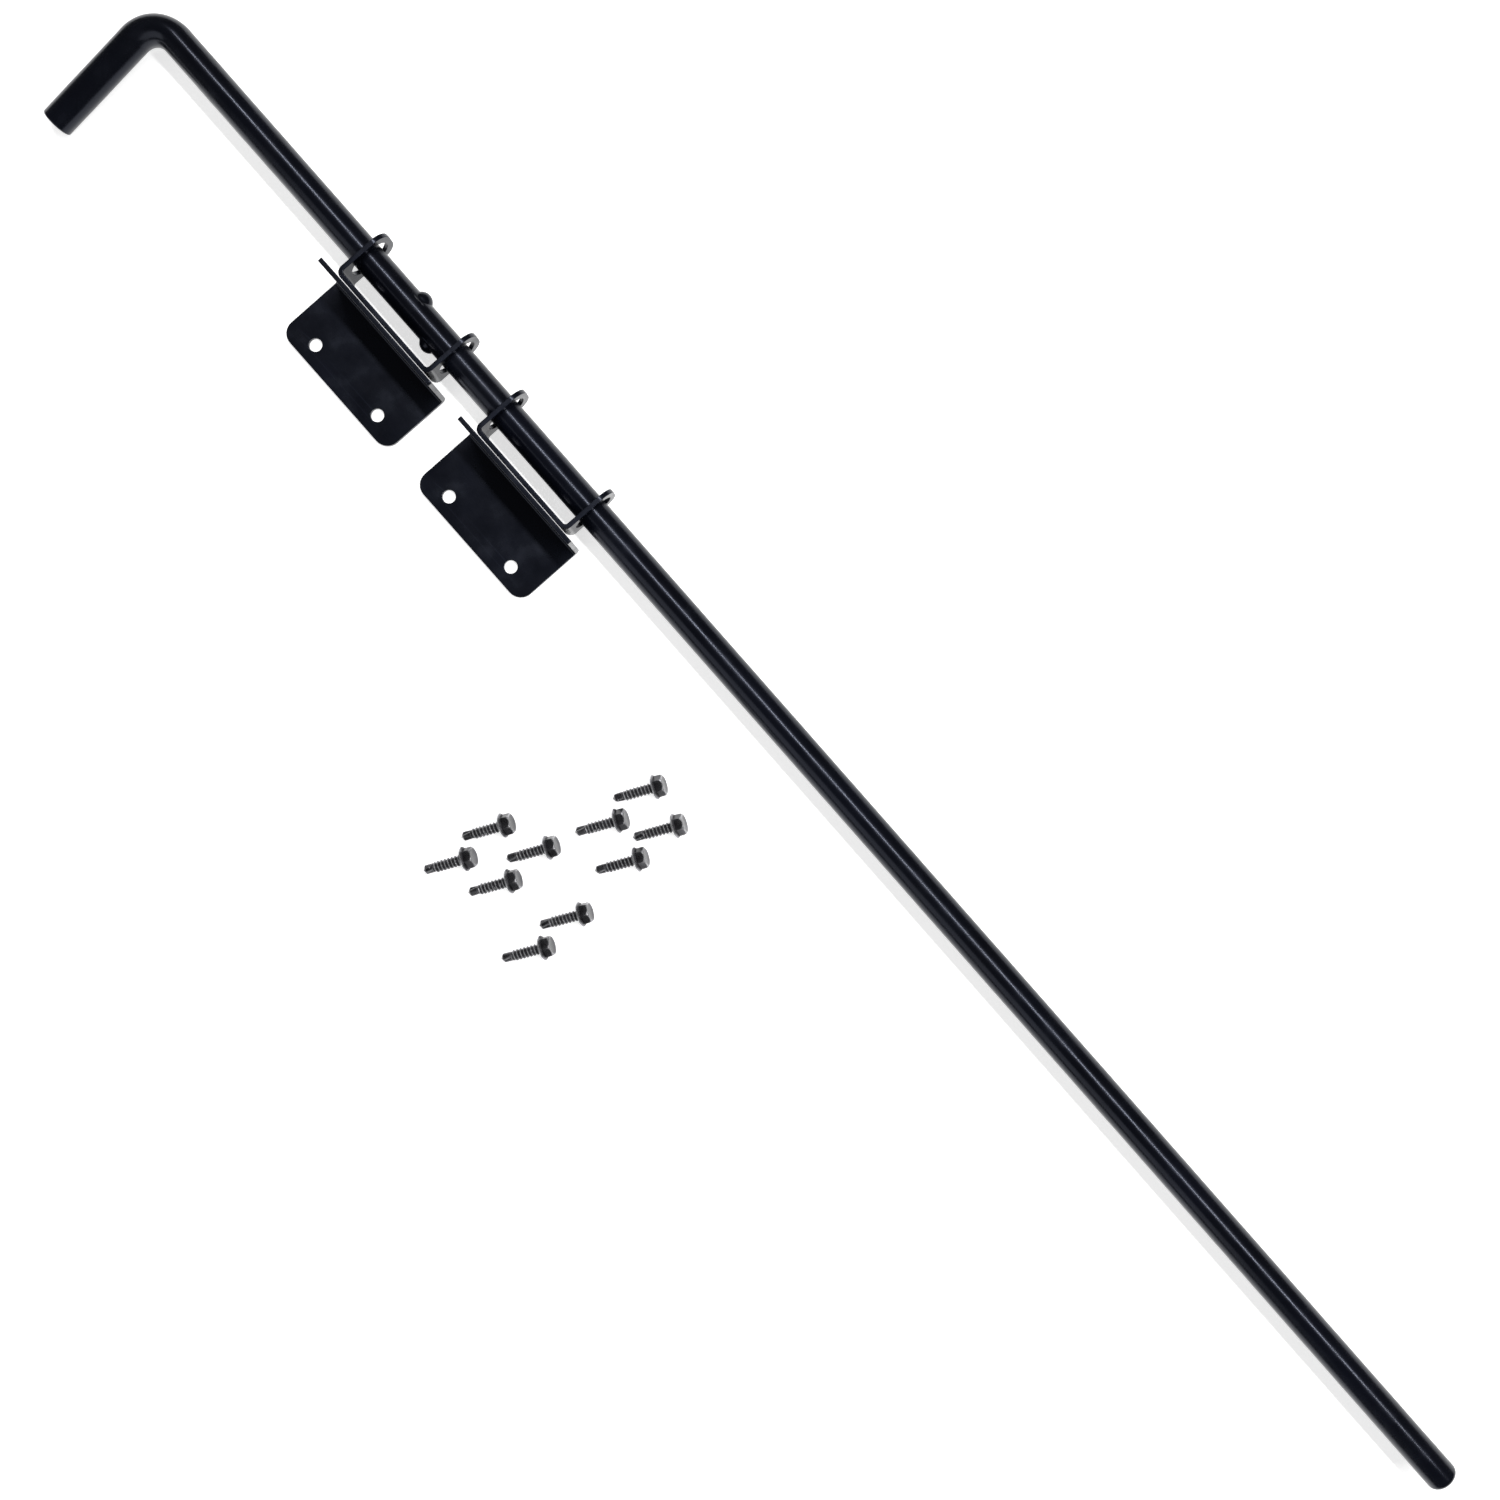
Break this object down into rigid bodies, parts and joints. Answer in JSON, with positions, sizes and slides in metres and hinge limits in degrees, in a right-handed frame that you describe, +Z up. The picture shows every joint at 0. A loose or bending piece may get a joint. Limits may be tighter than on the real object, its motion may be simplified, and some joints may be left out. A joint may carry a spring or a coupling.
{
  "type": "cane bolt",
  "caption": "Black gate drop rod with a bent handle and side lugs, carried in slotted angle brackets, with loose hexagon washer head screws.",
  "frame": {"origin": "on the ground under the middle of the laid-out set", "axes": "+X along the rod towards its tip, +Y from the brackets' plates towards the ears' ends, +Z up from the ground that the plates lie on"},
  "size_m": [0.9144, 0.186, 0.0381],
  "materials": {
    "powder_coat": "satin to gloss black powder coat with a fine orange peel, over steel",
    "black_screw": "black phosphate over hardened steel, slightly oily sheen"
  },
  "bodies": {
    "upper_bracket": {"upper_angle_plate": "powder_coat", "upper_rod_guide": "powder_coat", "screw_1": "black_screw", "screw_2": "black_screw", "screw_3": "black_screw", "screw_4": "black_screw", "screw_5": "black_screw", "screw_6": "black_screw", "screw_7": "black_screw", "screw_8": "black_screw", "screw_9": "black_screw", "screw_10": "black_screw"},
    "lower_bracket": {"lower_angle_plate": "powder_coat", "lower_rod_guide": "powder_coat"},
    "rod_shank": {"rod_lower": "powder_coat"},
    "rod_handle": {"rod_upper": "powder_coat", "lug_outer": "powder_coat", "lug_inner": "powder_coat"}
  },
  "joints": [
    {"name": "rod_slide", "type": "slide", "parent": "upper_bracket", "child": "rod_shank", "axis": [1, 0, 0], "range_m": [-0.055, 0.132]},
    {"name": "rod_turn", "type": "hinge", "parent": "rod_shank", "child": "rod_handle", "pos_m": [-0.2394, 0.07959, 0.01905], "axis": [1, 0, 0], "continuous": true},
    {"name": "lower_bracket_slide", "type": "slide", "parent": "upper_bracket", "child": "lower_bracket", "axis": [1, 0, 0], "range_m": [-0.018, 0.52]}
  ]
}
